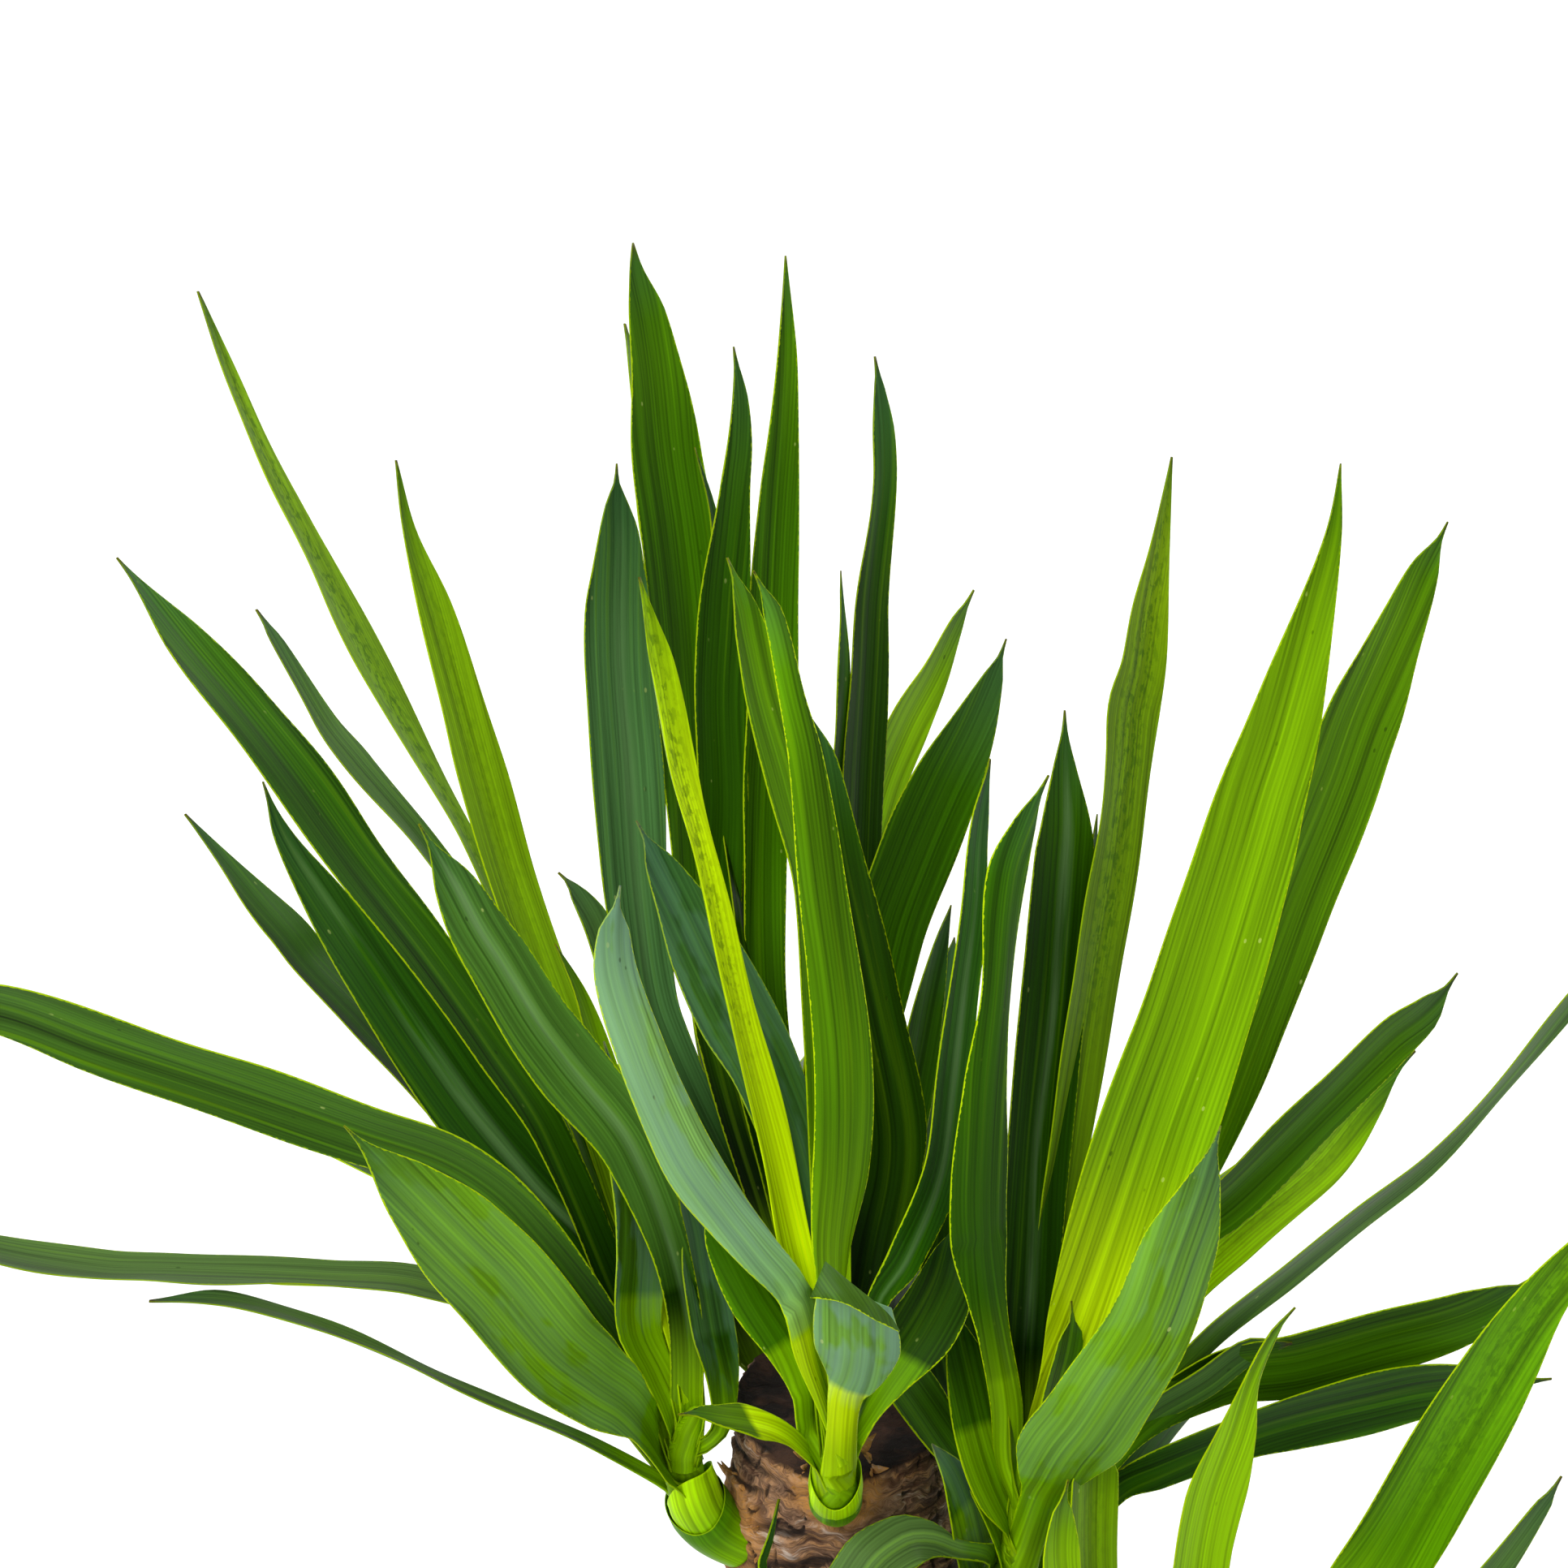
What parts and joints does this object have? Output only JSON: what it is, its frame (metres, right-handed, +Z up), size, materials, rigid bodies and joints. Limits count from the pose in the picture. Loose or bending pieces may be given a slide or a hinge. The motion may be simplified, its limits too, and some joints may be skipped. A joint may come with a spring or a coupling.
{
  "type": "potted yucca",
  "caption": "Potted yucca: sawn canes of unequal height stand in a plain round pot of soil, with shoots of long sword-shaped leaves breaking from the bark under each cut.",
  "frame": {"origin": "centre of the pot's flat base", "axes": "+Z up along the pot's axis, -Y towards the front of the plant, +X to its right seen from the front"},
  "size_m": [0.6081, 0.5333, 0.7058],
  "materials": {
    "pot": "matt dark moulded plastic with a plain rim band",
    "soil": "dark crumbly potting soil with bark crumbs",
    "bark": "brown fibrous cracked bark with a near-black sawn cut",
    "leaf": "satin green sword leaves with fine lengthwise lines, paler edges and yellow-green necks"
  },
  "bodies": {
    "root": {"pot": "pot", "soil": "soil", "cane_tall": "bark", "cane_short": "bark", "shoot_left": "leaf", "shoot_front": "leaf", "shoot_back": "leaf", "shoot_right": "leaf", "shoot_low_right": "leaf", "shoot_low_left": "leaf"}
  },
  "joints": []
}
